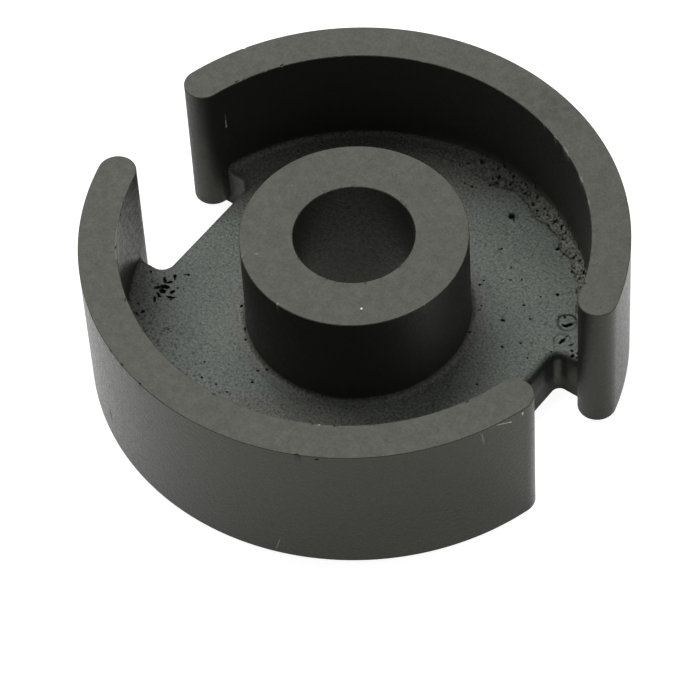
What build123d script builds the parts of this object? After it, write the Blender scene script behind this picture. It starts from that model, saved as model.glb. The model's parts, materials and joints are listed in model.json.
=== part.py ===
"""One half of a ferrite pot core, pressed and sintered as a single piece.

A round cup carries a bored centre post on its floor. Two slots opposite each other let
the coil's leads out: each is a gap between the full-round ends of the two curved walls,
over a wider notch in the base.

The origin is the centre of the back face, +Z points out of the cup towards the ground
mating faces, and the slots open along +X and -X. All sizes are in millimetres.
"""

import math
import os

from build123d import *

# Driving dimensions
outer_diameter = 21.6
inner_diameter = 18.5
post_diameter = 9.0
bore_diameter = 4.8
height = 6.8
floor_thickness = 2.0

# Slots: the gap between the wall ends, and the notch that runs through the base
slot_gap = 4.0
notch_width = 5.7
notch_reach = 7.62  # from the axis to the notch's flat inner end
notch_corner_radius = 0.5
notch_lip = 0.15  # how far the lip at the back face stands into the notch
notch_lip_height = 0.35
notch_overrun = 1.0  # how far the cut runs out past the rim

# Edges
floor_fillet = 0.25  # where the floor meets the post and the walls
notch_edge_round = 0.3  # where the floor runs over into a notch
back_edge_break = 0.1  # round the feet of the walls and the bore's back mouth

# Sizes that follow
outer_radius = outer_diameter / 2
inner_radius = inner_diameter / 2
post_radius = post_diameter / 2
bore_radius = bore_diameter / 2
wall_thickness = outer_radius - inner_radius
wall_middle_radius = (outer_radius + inner_radius) / 2
wall_end_angle = math.degrees(math.asin((slot_gap + wall_thickness) / 2 / wall_middle_radius))
wall_sweep = 180 - 2 * wall_end_angle
notch_length = outer_radius + notch_overrun - notch_reach
notch_lip_slope = math.degrees(math.atan2(notch_lip, notch_lip_height))


# What each slot takes out of the base: a notch with rounded inner corners, which narrows
# at the back face, where the lip stands
with BuildPart() as notches:
    with BuildSketch(Plane.XY.offset(notch_lip_height)) as notch_outline:
        with PolarLocations(notch_reach, 2):
            Rectangle(notch_length, notch_width, align=(Align.MIN, Align.CENTER))
        inner_corners = notch_outline.vertices().filter_by(lambda v: abs(v.X) < outer_radius)
        fillet(inner_corners, notch_corner_radius)
    extrude(amount=height)
    extrude(
        notch_outline.sketch, amount=notch_lip_height, dir=(0, 0, -1), taper=notch_lip_slope
    )


# The two curved walls, with full-round ends that reach past the sides of the notches
with BuildPart() as walls:
    with BuildSketch():
        with PolarLocations(0, 2):
            SlotArc(
                CenterArc((0, 0), wall_middle_radius, wall_end_angle, wall_sweep), wall_thickness
            )
    extrude(amount=height)
    chamfer(walls.edges().group_by(Axis.Z)[0], back_edge_break)


# The base runs out to the middle of the walls, which bury its rim
with BuildPart() as core_half:
    with BuildSketch():
        Circle(wall_middle_radius)
    extrude(amount=floor_thickness)
    with BuildSketch():
        Circle(post_radius)
    extrude(amount=height)
    add(notches.part, mode=Mode.SUBTRACT)
    add(walls.part)
    foot_edges = (
        core_half.edges()
        .filter_by(GeomType.CIRCLE)
        .filter_by_position(Axis.Z, floor_thickness, floor_thickness)
        .filter_by(lambda edge: edge.radius > notch_corner_radius)
    )
    fillet(foot_edges, floor_fillet)
    notch_edges = (
        core_half.edges()
        .filter_by_position(Axis.Z, floor_thickness, floor_thickness)
        .filter_by(lambda edge: abs(edge.center().X) > notch_reach - 0.01)
        .filter_by(lambda edge: abs(edge.center().Y) < notch_width / 2 + 0.01)
    )
    fillet(notch_edges, notch_edge_round)
    Hole(bore_radius)
    back_mouth = core_half.edges(Select.LAST).group_by(Axis.Z)[0]
    chamfer(back_mouth, back_edge_break)

core_half.part.label = "core_half"

os.makedirs("parts", exist_ok=True)
export_step(core_half.part, "parts/core_half.step")

print("volume in cubic millimetres", round(core_half.part.volume, 1))
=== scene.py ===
"""Half of a ferrite pot core: a round cup with a bored centre post and two lead slots.

The core half is one pressed and sintered piece. Its skin is built here as one closed mesh
from the same outline as the CAD solid, fine enough to carry what pressing and grinding
leave behind: small pits, a crust at the foot of the wall, craters and chipped edges.
Geometry Nodes scatter the small pits. The stage is a white table under a few soft lamps.
"""

import json
import math
from functools import partial

import bmesh
import bpy
import numpy as np
from bpy.props import FloatProperty, FloatVectorProperty, IntProperty, PointerProperty
from mathutils import Matrix, Vector, kdtree, noise
from mathutils.geometry import delaunay_2d_cdt


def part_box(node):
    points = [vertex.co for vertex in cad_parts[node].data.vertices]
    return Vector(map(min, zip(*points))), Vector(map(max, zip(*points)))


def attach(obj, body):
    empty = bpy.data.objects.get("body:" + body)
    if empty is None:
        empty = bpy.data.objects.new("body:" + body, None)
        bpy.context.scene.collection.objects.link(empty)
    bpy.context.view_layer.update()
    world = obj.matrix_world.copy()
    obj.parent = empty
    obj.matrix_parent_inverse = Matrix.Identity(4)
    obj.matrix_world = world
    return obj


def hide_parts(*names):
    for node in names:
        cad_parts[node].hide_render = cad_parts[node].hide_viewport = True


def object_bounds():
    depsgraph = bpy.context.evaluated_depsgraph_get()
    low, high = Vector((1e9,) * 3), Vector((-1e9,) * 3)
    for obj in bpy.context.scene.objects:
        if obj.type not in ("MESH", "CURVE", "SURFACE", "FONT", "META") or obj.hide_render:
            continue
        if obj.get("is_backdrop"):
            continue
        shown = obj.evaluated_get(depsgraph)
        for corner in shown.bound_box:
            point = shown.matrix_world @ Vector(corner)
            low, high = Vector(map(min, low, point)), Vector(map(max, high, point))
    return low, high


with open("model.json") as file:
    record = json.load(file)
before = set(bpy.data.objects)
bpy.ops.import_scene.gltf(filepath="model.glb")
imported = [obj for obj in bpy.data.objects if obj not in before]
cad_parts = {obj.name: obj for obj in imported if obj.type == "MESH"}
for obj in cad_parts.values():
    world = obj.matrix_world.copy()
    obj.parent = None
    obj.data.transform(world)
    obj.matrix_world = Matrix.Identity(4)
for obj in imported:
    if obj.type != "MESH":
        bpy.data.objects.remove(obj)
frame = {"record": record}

bl_info = {
    "name": "Ferrite pot core half",
    "version": (1, 0, 0),
    "blender": (4, 5, 0),
    "location": "3D View > Sidebar > Pot core",
    "description": "Builds one half of a ferrite pot core and a plain stage for it",
    "category": "Add Mesh",
}

MM = 0.001
CAD_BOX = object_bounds()
CAD_LOW, CAD_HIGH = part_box("core_half")
CENTRE_BORE = next(m for m in frame["record"]["mounts"] if m["name"] == "centre_bore")


# Settings

length_property = partial(FloatProperty, unit="LENGTH")
angle_property = partial(FloatProperty, subtype="ANGLE", unit="ROTATION")
colour_property = partial(FloatVectorProperty, subtype="COLOR", min=0.0, max=1.0)


class PotCoreSizes(bpy.types.PropertyGroup):
    """Sizes of the core half"""

    outer_diameter: length_property(
        name="Outer diameter",
        description="Across the outside of the two curved walls",
        default=CAD_HIGH.y - CAD_LOW.y,
    )
    height: length_property(
        name="Height",
        description="From the back face to the ground mating faces",
        default=CAD_HIGH.z - CAD_LOW.z,
    )
    bore_diameter: length_property(
        name="Bore",
        description="Diameter of the hole through the centre post",
        default=2 * CENTRE_BORE["dims"]["r_mm"] * MM,
    )
    inner_diameter: length_property(
        name="Inner diameter",
        description="Across the inside of the two curved walls",
        default=18.5 * MM,
    )
    post_diameter: length_property(
        name="Post diameter",
        description="Outside diameter of the centre post",
        default=9.0 * MM,
    )
    floor_thickness: length_property(
        name="Floor thickness",
        description="From the back face to the floor of the cup",
        default=2.0 * MM,
    )
    slot_gap: length_property(
        name="Slot",
        description="Gap between the rounded ends of the walls",
        default=4.0 * MM,
    )
    notch_width: length_property(
        name="Notch width",
        description="Width of the notch in the base under each slot",
        default=5.7 * MM,
    )
    notch_reach: length_property(
        name="Notch reach",
        description="From the axis to the flat inner end of a notch",
        default=7.62 * MM,
    )
    notch_corner: length_property(
        name="Notch corner",
        description="Radius of the notch's two inner corners",
        default=0.5 * MM,
    )
    notch_edge: length_property(
        name="Notch edge",
        description="Radius where the floor runs over into a notch",
        default=0.3 * MM,
    )
    lip: length_property(
        name="Lip",
        description="How far the lip at the back face stands into the notch",
        default=0.15 * MM,
    )
    lip_height: length_property(
        name="Lip height",
        description="How far up the notch the lip reaches",
        default=0.35 * MM,
    )
    floor_fillet: length_property(
        name="Floor fillet",
        description="Radius where the floor meets the post and the walls",
        default=0.25 * MM,
    )
    back_edge: length_property(
        name="Back edge break",
        description="Chamfer round the feet of the walls and the back of the bore",
        default=0.1 * MM,
    )
    ground_edge: length_property(
        name="Ground edge break",
        description="The slight break that grinding leaves round the mating faces",
        default=0.025 * MM,
    )


class PotCorePits(bpy.types.PropertyGroup):
    """The small pits that pressing leaves in the floor of the cup"""

    density: FloatProperty(
        name="Pits per square metre",
        description="How thickly the pits lie on the floor",
        default=3.2e6,
        min=0.0,
    )
    smallest: length_property(
        name="Smallest pit",
        description="Radius of the smallest pit",
        default=0.035 * MM,
    )
    largest: length_property(
        name="Largest pit",
        description="Radius of the largest pit",
        default=0.07 * MM,
    )
    depth: FloatProperty(
        name="Pit depth",
        description="Depth of a pit as a share of its radius",
        default=0.8,
        subtype="FACTOR",
    )
    seed: IntProperty(name="Seed", description="Changes where the pits fall", default=7)


class PotCoreFinish(bpy.types.PropertyGroup):
    """Colours of the sintered ferrite, and of the painted shade and glints laid on it"""

    ground: colour_property(
        name="Ground faces",
        description="Colour of the ground mating faces",
        default=(0.050, 0.0515, 0.0455),
    )
    pressed: colour_property(
        name="Pressed walls",
        description="Colour of the walls, post and back as they leave the press",
        default=(0.025, 0.027, 0.0215),
    )
    cup_floor: colour_property(
        name="Cup floor",
        description="Colour of the rough floor inside the cup",
        default=(0.0765, 0.0910, 0.0755),
    )
    # Also painted shade: the floor behind and in front of the post takes this colour where the back
    # wall and the post shade it.
    foot: colour_property(
        name="Feet",
        description="Colour of the crumbly floor round the foot of the post and the walls",
        default=(0.077, 0.077, 0.067),
    )
    # Painted shade: this near-black stands in for the shade inside the pits, grooves, holes and
    # dark bites, and darkens the shaded bands of the +X notch and the crust; the floor's freckles
    # use it as dark specks.
    pit: colour_property(
        name="Pits",
        description="Colour of the unpolished ferrite inside a pit",
        default=(0.004, 0.005, 0.004),
    )
    crust: colour_property(
        name="Crust",
        description="Colour of the crust at the foot of the back wall",
        default=(0.098, 0.100, 0.084),
    )
    raw: colour_property(
        name="Raw ferrite",
        description="Colour of the duller ferrite in the notches and in the bore",
        default=(0.028, 0.028, 0.0255),
    )
    # Also painted highlights: this paler colour lights up the corners and lip of the +X notch, the
    # notches slightly, and a stretch high on the inner face of the -Y wall where it mirrors the
    # light.
    chip_and_highlight: colour_property(
        name="Chips",
        description="Colour of a freshly chipped edge",
        default=(0.22, 0.22, 0.20),
    )
    # Painted glint: this near-white stands in for light glinting off a few chipped flakes on the
    # edges and walls.
    flake_glint: colour_property(
        name="Flakes",
        description="Colour of the few bright flakes on the ground edges",
        default=(0.80, 0.80, 0.76),
    )


class PotCoreStage(bpy.types.PropertyGroup):
    """The table, the lamps and the camera"""

    table: colour_property(
        name="Table",
        description="Colour of the table",
        default=(0.4, 0.4, 0.4),
    )
    table_glow: FloatProperty(
        name="Table glow",
        description="How strongly the light table lights the core from below",
        default=0.3,
        min=0.0,
    )
    lamp_distance: length_property(
        name="Lamp distance",
        description="From the core to the middle of each soft lamp",
        default=0.6,
    )
    camera_distance: length_property(
        name="Camera distance",
        description="From the core to the camera",
        default=172.57 * MM,
    )
    camera_height: angle_property(
        name="Camera height",
        description="Angle of the camera above the table",
        default=math.radians(51.68),
    )
    camera_turn: angle_property(
        name="Camera turn",
        description="How far the camera stands round the core from the middle of a wall",
        default=math.radians(39.5),
    )


# Outlines, as complex numbers in the plane of the table


def line(start, end, steps):
    return start + (end - start) * np.linspace(0, 1, steps + 1)


def arc(middle, radius, start, end, steps):
    """Points along an arc, from one angle in degrees to another."""
    return middle + radius * np.exp(1j * np.radians(np.linspace(start, end, steps + 1)))


def join(*paths):
    """Strings paths together. Each starts where the one before it ends."""
    return np.concatenate([paths[0]] + [path[1:] for path in paths[1:]])


def with_mirror(path):
    """A path that ends on the Y axis, and its mirror image beyond that axis."""
    return join(path, -np.conj(path)[::-1])


def both_ways(path):
    """A half outline that runs from +X to -X, and the same half turned round, as one loop."""
    return join(path, -path)[:-1]


def at_height(path, z):
    return np.stack([path.real, path.imag, np.full(len(path), z)], axis=-1)


class CoreShape:
    """The core half's outlines at any height, from its driving sizes."""

    wall_steps = 124  # along half a wall
    round_steps = 20  # round the end of a wall
    lap_steps = 3  # from a notch's side to the start of a wall's rounded end
    notch_steps = (24, 8, 5, 2)  # inner end, corner, side, foot of the fillet
    post_steps = 220
    fillet_steps = 4

    def __init__(self, sizes):
        self.outer = sizes.outer_diameter / 2
        self.inner = sizes.inner_diameter / 2
        self.post = sizes.post_diameter / 2
        self.bore = sizes.bore_diameter / 2
        self.height = sizes.height
        self.floor = sizes.floor_thickness
        self.fillet = sizes.floor_fillet
        self.foot = self.inner - self.fillet
        self.back_edge = sizes.back_edge
        self.ground_edge = sizes.ground_edge
        self.notch_side = sizes.notch_width / 2
        self.notch_reach = sizes.notch_reach
        self.notch_corner = sizes.notch_corner
        self.notch_edge = sizes.notch_edge
        self.lip = sizes.lip
        self.lip_height = sizes.lip_height
        self.wall_middle = (self.outer + self.inner) / 2
        self.half_wall = (self.outer - self.inner) / 2
        rounded_end = sizes.slot_gap / 2 + self.half_wall
        self.wall_end = math.degrees(math.asin(rounded_end / self.wall_middle))

    def seam_angle(self, radius, lip=0.0):
        """Where a circle meets the side of a notch."""
        return math.degrees(math.asin((self.notch_side - lip) / radius))

    def notch_to_foot(self, lip=0.0):
        """Half a notch: from its inner end on the X axis, round the corner, to the wall's foot."""
        end_steps, corner_steps, side_steps, _ = self.notch_steps
        side = self.notch_side - lip
        corner = self.notch_corner - lip
        middle = complex(
            self.notch_reach + self.notch_corner, self.notch_side - self.notch_corner
        )
        foot = complex(math.sqrt(self.foot**2 - side**2), side)
        return join(
            line(complex(self.notch_reach + lip, 0), middle - corner, end_steps),
            arc(middle, corner, 180, 90, corner_steps),
            line(middle + 1j * corner, foot, side_steps),
        )

    def foot_to_wall(self, chamfer=0.0, lip=0.0):
        """The rest of the notch's side, under the fillet."""
        side = self.notch_side - lip
        foot = complex(math.sqrt(self.foot**2 - side**2), side)
        wall = complex(math.sqrt((self.inner + chamfer) ** 2 - side**2), side)
        return line(foot, wall, self.notch_steps[3])

    def wall_outside(self, inset=0.0, lip=0.0):
        """Half a wall's outside: from the notch, round the wall's end, to its outer middle."""
        seam = self.seam_angle(self.inner + inset, lip)
        end = self.wall_end
        end_middle = self.wall_middle * np.exp(1j * math.radians(end))
        outer = self.outer - inset
        return join(
            arc(0, self.inner + inset, seam, end, self.lap_steps),
            arc(end_middle, self.half_wall - inset, end - 180, end, self.round_steps),
            arc(0, outer, end, seam, self.lap_steps),
            arc(0, outer, seam, 90, self.wall_steps),
        )

    def cup_arc(self, radius):
        """An arc inside the cup, along one wall, from the -X notch to the +X notch."""
        seam = self.seam_angle(radius)
        return arc(0, radius, 180 - seam, seam, 2 * self.wall_steps)

    def base_ring(self, z):
        """The base's whole outline, with the notches' lips and the chamfered feet of the walls."""
        chamfer = max(0.0, self.back_edge - z)
        lip = self.lip * max(0.0, 1 - z / self.lip_height)
        quarter = join(
            self.notch_to_foot(lip),
            self.foot_to_wall(chamfer, lip),
            self.wall_outside(chamfer, lip),
        )
        return at_height(both_ways(with_mirror(quarter)), z)

    def wall_ring(self, z, inset=0.0):
        """The outline of the wall on the +Y side."""
        outside = with_mirror(self.wall_outside(inset))
        return at_height(join(outside, self.cup_arc(self.inner + inset))[:-1], z)

    def post_ring(self, radius, z):
        return at_height(arc(0, radius, 0, 360, self.post_steps)[:-1], z)


# Mesh building

GROUND, PRESSED, CUP_FLOOR = range(3)

# How far apart the skin's rings and triangles lie before the blemishes refine them
BASE_SPACING = 0.4 * MM
SIDE_SPACING = 0.45 * MM
WALL_TOP_SPACING = 0.16 * MM
POST_TOP_SPACING = 0.14 * MM
BORE_SPACING = 0.55 * MM
FLOOR_SPACING = 0.086 * MM
BACK_SPACING = 0.3 * MM
RIM_RING = 0.1 * MM  # from the wall's side to the first ring on its ground top


class Skin:
    """Collects the points and faces of one closed skin. Seams are merged at the end."""

    def __init__(self):
        self.points = []
        self.faces = []
        self.finishes = []

    def add(self, points, faces, finish):
        first = len(self.points)
        self.points.extend(points)
        self.faces.extend([[first + i for i in face] for face in faces])
        self.finishes.extend([finish] * len(faces))

    def band(self, rows, finish, closed=True):
        """Quads between rows of points that run side by side."""
        count = len(rows[0])
        faces = []
        for row in range(len(rows) - 1):
            for i in range(count if closed else count - 1):
                a = row * count + i
                b = row * count + (i + 1) % count
                faces.append((a, b, b + count, a + count))
        self.add(np.concatenate(rows), faces, finish)

    def fill(self, outlines, z, spacing, finish):
        """Closes a flat face between closed outlines with even triangles."""
        edges = []
        first = 0
        for outline in outlines:
            count = len(outline)
            edges.extend((first + i, first + (i + 1) % count) for i in range(count))
            first += count
        rim = np.concatenate(outlines)
        points = np.concatenate([rim, inside_points(rim, edges, spacing)])
        flat = [Vector((p.real / MM, p.imag / MM)) for p in points]
        triangles = delaunay_2d_cdt(flat, edges, [], 0, 1e-6)[2]
        middles = points[np.array(triangles)].mean(axis=1)
        kept = is_inside(middles, rim, edges)
        faces = [face for face, keep in zip(triangles, kept) if keep]
        self.add(at_height(points, z), faces, finish)


def is_inside(points, rim, edges):
    """Whether each point lies between the outlines, by the even-odd rule."""
    inside = np.zeros(len(points), bool)
    for i, j in edges:
        a, b = rim[i], rim[j]
        spans = (a.imag > points.imag) != (b.imag > points.imag)
        if a.imag != b.imag:
            crossing = a.real + (points.imag - a.imag) / (b.imag - a.imag) * (b.real - a.real)
            inside ^= spans & (points.real < crossing)
    return inside


def inside_points(rim, edges, spacing):
    """A triangular lattice between the outlines, kept off their edges."""
    reach = np.abs(rim).max()
    row_height = spacing * math.sqrt(3) / 2
    rows = int(reach / row_height) + 1
    columns = int(reach / spacing) + 2
    lattice = np.array(
        [
            complex((column + row % 2 / 2) * spacing, row * row_height)
            for row in range(-rows, rows + 1)
            for column in range(-columns, columns)
        ]
    )
    lattice = lattice[is_inside(lattice, rim, edges)]
    tree = kdtree.KDTree(len(rim))
    for i, point in enumerate(rim):
        tree.insert((point.real, point.imag, 0), i)
    tree.balance()
    clear = [tree.find((p.real, p.imag, 0))[2] > 0.6 * spacing for p in lattice]
    return lattice[clear]


def levels(start, end, spacing):
    return np.linspace(start, end, max(1, round(abs(end - start) / spacing)) + 1)


def build_skin(shape):
    """The whole skin of the core half."""
    skin = Skin()
    floor, top = shape.floor, shape.height
    wall_top = top - shape.ground_edge
    fillet_top = floor + shape.fillet
    turns = np.linspace(0, math.pi / 2, shape.fillet_steps + 1)
    side_levels = levels(fillet_top, wall_top, SIDE_SPACING)

    # The base, with its notches
    edge_levels = [0, shape.back_edge, shape.lip_height]
    base_levels = [*edge_levels, *levels(shape.lip_height, floor, BASE_SPACING)[1:]]
    skin.band([shape.base_ring(z) for z in base_levels], PRESSED)

    for turn in (1, -1):
        # A wall: the foot of its outside, its sides, then its ground top
        around = np.array([turn, turn, 1.0])
        outside = with_mirror(shape.wall_outside())
        foot_rows = [at_height(outside, z) * around for z in (floor, fillet_top)]
        skin.band(foot_rows, PRESSED, closed=False)
        skin.band([shape.wall_ring(z) * around for z in side_levels], PRESSED)
        insets = [shape.ground_edge, *levels(RIM_RING, shape.half_wall, WALL_TOP_SPACING)]
        top_rows = [shape.wall_ring(top, inset) * around for inset in insets]
        skin.band([shape.wall_ring(wall_top) * around, *top_rows], GROUND)

        # The fillet at the wall's foot, and its two ends in the sides of the notches
        fillet_rows = [
            at_height(
                shape.cup_arc(shape.foot + shape.fillet * math.sin(t)),
                fillet_top - shape.fillet * math.cos(t),
            )
            * around
            for t in turns
        ]
        skin.band(fillet_rows, CUP_FLOOR, closed=False)
        under = at_height(shape.foot_to_wall(), floor)
        for end, mirror in ((-1, 1), (0, -1)):
            side = under[::-1][:-1] * np.array([mirror * turn, turn, 1.0])
            profile = [row[end] for row in fillet_rows]
            skin.add([*profile, *side], [range(len(profile) + len(side))], PRESSED)

    # The floor of the cup
    notch = shape.notch_to_foot()
    cup_edge = join(notch, shape.cup_arc(shape.foot)[::-1], -np.conj(notch)[::-1])
    post_foot = shape.post + shape.fillet
    post_edge = arc(0, post_foot, 0, 360, shape.post_steps)[:-1]
    skin.fill([both_ways(cup_edge), post_edge], floor, FLOOR_SPACING, CUP_FLOOR)

    # The post: fillet, side, ground top, then down the bore
    skin.band(
        [
            shape.post_ring(
                post_foot - shape.fillet * math.sin(t), fillet_top - shape.fillet * math.cos(t)
            )
            for t in turns
        ],
        CUP_FLOOR,
    )
    skin.band([shape.post_ring(shape.post, z) for z in side_levels], PRESSED)
    top_radii = levels(
        shape.post - shape.ground_edge, shape.bore + shape.ground_edge, POST_TOP_SPACING
    )
    skin.band(
        [
            shape.post_ring(shape.post, wall_top),
            *[shape.post_ring(radius, top) for radius in top_radii],
            shape.post_ring(shape.bore, wall_top),
        ],
        GROUND,
    )
    bore_levels = levels(wall_top, shape.back_edge, BORE_SPACING)
    bore_back = shape.post_ring(shape.bore + shape.back_edge, 0)
    skin.band([*[shape.post_ring(shape.bore, z) for z in bore_levels], bore_back], PRESSED)

    # The back face
    back = shape.base_ring(0)
    outlines = [back[:, 0] + 1j * back[:, 1], bore_back[:, 0] + 1j * bore_back[:, 1]]
    skin.fill(outlines, 0.0, BACK_SPACING, PRESSED)
    return skin


def skin_to_mesh(skin, name):
    """One closed mesh, with its seams merged and its faces turned outwards."""
    mesh = bpy.data.meshes.new(name)
    mesh.from_pydata([tuple(p) for p in skin.points], [], skin.faces)
    mesh.polygons.foreach_set("material_index", skin.finishes)
    work = bmesh.new()
    work.from_mesh(mesh)
    bmesh.ops.remove_doubles(work, verts=work.verts, dist=1e-7)
    bmesh.ops.triangulate(work, faces=work.faces)
    bmesh.ops.recalc_face_normals(work, faces=work.faces)
    open_edges = sum(not edge.is_manifold for edge in work.edges)
    if open_edges:
        raise RuntimeError(f"the skin has {open_edges} open edges")
    if work.calc_volume(signed=True) < 0:
        bmesh.ops.reverse_faces(work, faces=work.faces)
    work.to_mesh(mesh)
    work.free()
    return mesh


# Blemishes, in mm. They are pressed into the finished skin.

# Pits in the floor of the cup: x, y, length, width and turn in degrees
FLOOR_PITS = (
    # A burst of pits beside the -X notch
    (-7.30, -3.24, 0.36, 0.14, -40),
    (-7.08, -3.22, 0.32, 0.13, 50),
    (-7.09, -2.85, 0.17, 0.15, 0),
    (-7.02, -2.95, 0.20, 0.08, -50),
    (-6.70, -2.48, 0.13, 0.12, 0),
    (-7.10, -3.50, 0.44, 0.20, 20),
    (-7.31, -3.70, 0.32, 0.14, 45),
    (-7.03, -3.72, 0.32, 0.24, 0),
    (-6.67, -3.55, 0.30, 0.15, 70),
    (-6.56, -3.79, 0.40, 0.12, 25),
    (-7.03, -3.98, 0.36, 0.12, -25),
    (-7.03, -4.24, 0.34, 0.11, -50),
    (-6.62, -3.26, 0.10, 0.09, 0),
    (-7.42, -4.80, 0.16, 0.07, 10),
    (-7.03, -5.01, 0.24, 0.13, 80),
    (-7.17, -5.24, 0.12, 0.10, 0),
    (-8.03, -3.23, 0.12, 0.11, 0),
    (-7.67, -3.58, 0.11, 0.08, 30),
    (-5.64, -5.13, 0.11, 0.07, 30),
    # Round the foot of the post
    (-3.95, -2.52, 0.16, 0.12, 0),
    (-3.09, -3.38, 0.12, 0.10, 0),
    (-2.78, -3.77, 0.12, 0.09, 40),
    (-1.45, -4.72, 0.17, 0.08, 20),
    (-1.17, -4.49, 0.11, 0.09, 0),
    (-1.28, -5.29, 0.12, 0.10, 0),
    (4.29, 1.58, 0.25, 0.07, 70),
    # Towards the front wall
    (-3.06, -6.24, 0.12, 0.10, 0),
    (-2.39, -6.19, 0.10, 0.09, 0),
    (-1.81, -6.24, 0.11, 0.08, 0),
    (-3.45, -5.58, 0.09, 0.08, 0),
    # Between the post and the +X notch
    (2.21, 7.43, 0.30, 0.26, 0),
    (2.85, 5.82, 0.09, 0.08, 0),
    (6.04, 5.19, 0.16, 0.14, 0),
    (3.72, 5.26, 0.08, 0.07, 0),
    (4.07, 4.72, 0.14, 0.08, 30),
    (4.43, 5.00, 0.09, 0.08, 0),
    (3.21, 3.80, 0.12, 0.10, 0),
    (3.21, 4.07, 0.09, 0.08, 0),
    (5.25, 3.98, 0.11, 0.09, 0),
    (5.56, 4.71, 0.09, 0.08, 0),
    (5.85, 3.55, 0.18, 0.06, -35),
    (5.00, 2.88, 0.18, 0.13, 20),
    (3.87, 2.99, 0.09, 0.08, 0),
    (6.24, 2.35, 0.12, 0.08, 0),
    (5.76, 1.78, 0.13, 0.11, 0),
    (6.89, 1.91, 0.09, 0.08, 0),
    (6.03, -0.31, 0.10, 0.09, 0),
    (7.55, 3.67, 0.09, 0.08, 0),
    (7.47, 2.70, 0.08, 0.07, 0),
    # Two craters, and rubble at the corner of the +X notch
    (7.30, 4.20, 0.40, 0.16, 60),
    (7.18, 4.06, 0.30, 0.13, 5),
    (6.93, 4.42, 0.16, 0.10, -40),
    (7.53, 3.37, 0.40, 0.16, 80),
    (7.92, 3.42, 0.30, 0.06, 60),
    (8.27, 3.02, 0.20, 0.13, 30),
    (8.12, 3.20, 0.15, 0.10, -20),
    (8.40, 3.24, 0.16, 0.12, 70),
    (8.48, 3.05, 0.12, 0.08, 10),
    # In the crust and along it
    (4.20, 8.11, 0.13, 0.11, 0),
    (4.87, 7.86, 0.24, 0.16, 20),
    (6.32, 6.64, 0.19, 0.14, -30),
    (6.45, 6.44, 0.13, 0.10, 0),
    (4.71, 7.10, 0.20, 0.14, 40),
    (5.84, 6.46, 0.13, 0.10, 0),
    (5.05, 7.00, 0.12, 0.10, 0),
    (-0.41, 9.00, 0.20, 0.16, 0),
    (-0.84, 8.62, 0.14, 0.10, 30),
    (0.54, 8.22, 0.12, 0.10, 0),
    (-0.02, 7.76, 0.14, 0.11, 0),
    (-0.34, 7.73, 0.10, 0.08, 0),
    (0.63, 8.77, 0.10, 0.18, 0),
    (2.02, 8.65, 0.17, 0.13, 0),
    (2.91, 8.22, 0.15, 0.11, 10),
    (3.29, 8.39, 0.11, 0.09, 0),
    (3.72, 8.36, 0.12, 0.08, 50),
)

# Rings pressed faintly into the floor: x, y, radius, the turn of their clearest side and how
# much of the ring shows
FLOOR_RINGS = (
    (7.17, 4.24, 0.40, 190, 0.9),
    (7.55, 3.40, 0.33, 150, 0.5),
    (2.25, 7.47, 0.18, 200, 0.5),
)

# Specks on the ground top of the post: x, y, size, tint
TOP_SPECKS = (
    (2.43, -2.77, 0.10, "flake_glint"),
    (2.52, -2.89, 0.07, "pit"),
    (-2.58, -2.97, 0.05, "chip_and_highlight"),
    (-3.50, 0.60, 0.06, "chip_and_highlight"),
)

# Marks on the walls: turn round the core, radius, height, length, width, turn, depth, tint
WALL_MARKS = (
    (161.4, 9.25, 4.97, 0.95, 0.035, 90, 0.01, "chip_and_highlight"),
    (161.4, 9.25, 4.72, 0.50, 0.05, 90, 0.01, "flake_glint"),
    (161.4, 9.25, 4.54, 0.13, 0.10, 90, 0.01, "flake_glint"),
    (-60.8, 10.8, 6.66, 0.22, 0.09, 0, 0.04, "pit"),
    (-26.6, 10.8, 6.36, 0.17, 0.07, 80, 0.01, "chip_and_highlight"),
    (-70.4, 10.8, 0.62, 0.95, 0.05, 75, 0.01, "chip_and_highlight"),
    (-21.6, 10.8, 6.60, 0.70, 0.035, -24, 0.01, "flake_glint"),
    (-20.1, 10.8, 6.47, 0.12, 0.08, -24, 0.01, "flake_glint"),
    (-23.6, 10.8, 6.70, 0.50, 0.03, -12, 0.01, "chip_and_highlight"),
    (-17.1, 10.8, 6.57, 0.20, 0.09, 90, 0.01, "flake_glint"),
    (161.6, 10.69, 2.30, 0.14, 0.12, 0, 0.05, "pit"),
    (-161.4, 10.74, 4.10, 0.10, 0.09, 0, 0.03, "pit"),
    (52.0, 10.8, 3.40, 0.20, 0.08, 60, 0.03, "pit"),
    (118.0, 10.8, 5.20, 0.12, 0.10, 0, 0.03, "pit"),
    (-118.0, 10.8, 1.60, 0.15, 0.08, 20, 0.03, "pit"),
)

# Chips in the ground edges: turn round the core, radius, length, depth, tint
EDGE_CHIPS = (
    (67.2, 9.25, 0.20, 0.035, "chip_and_highlight"),
    (60.8, 9.25, 0.15, 0.025, "chip_and_highlight"),
    (53.5, 9.25, 0.12, 0.020, "chip_and_highlight"),
    (156.0, 9.25, 0.12, 0.020, "chip_and_highlight"),
    (145.0, 9.25, 0.12, 0.020, "chip_and_highlight"),
    (-61.4, 9.25, 0.13, 0.030, "flake_glint"),
    (-26.2, 10.8, 0.16, 0.020, "pit"),
    (-64.8, 10.8, 0.24, 0.050, "pit"),
    (-102.4, 10.8, 0.22, 0.045, "pit"),
    (-108.6, 10.8, 0.26, 0.050, "pit"),
    (-113.0, 10.8, 0.18, 0.035, "pit"),
    (151.0, 10.8, 0.22, 0.050, "pit"),
    (44.0, 10.8, 0.20, 0.040, "pit"),
    (-131.0, 4.5, 0.16, 0.035, "chip_and_highlight"),
    (-95.0, 4.5, 0.12, 0.020, "chip_and_highlight"),
    (-16.0, 4.5, 0.12, 0.020, "chip_and_highlight"),
    (-6.0, 4.5, 0.10, 0.015, "chip_and_highlight"),
)

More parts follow.
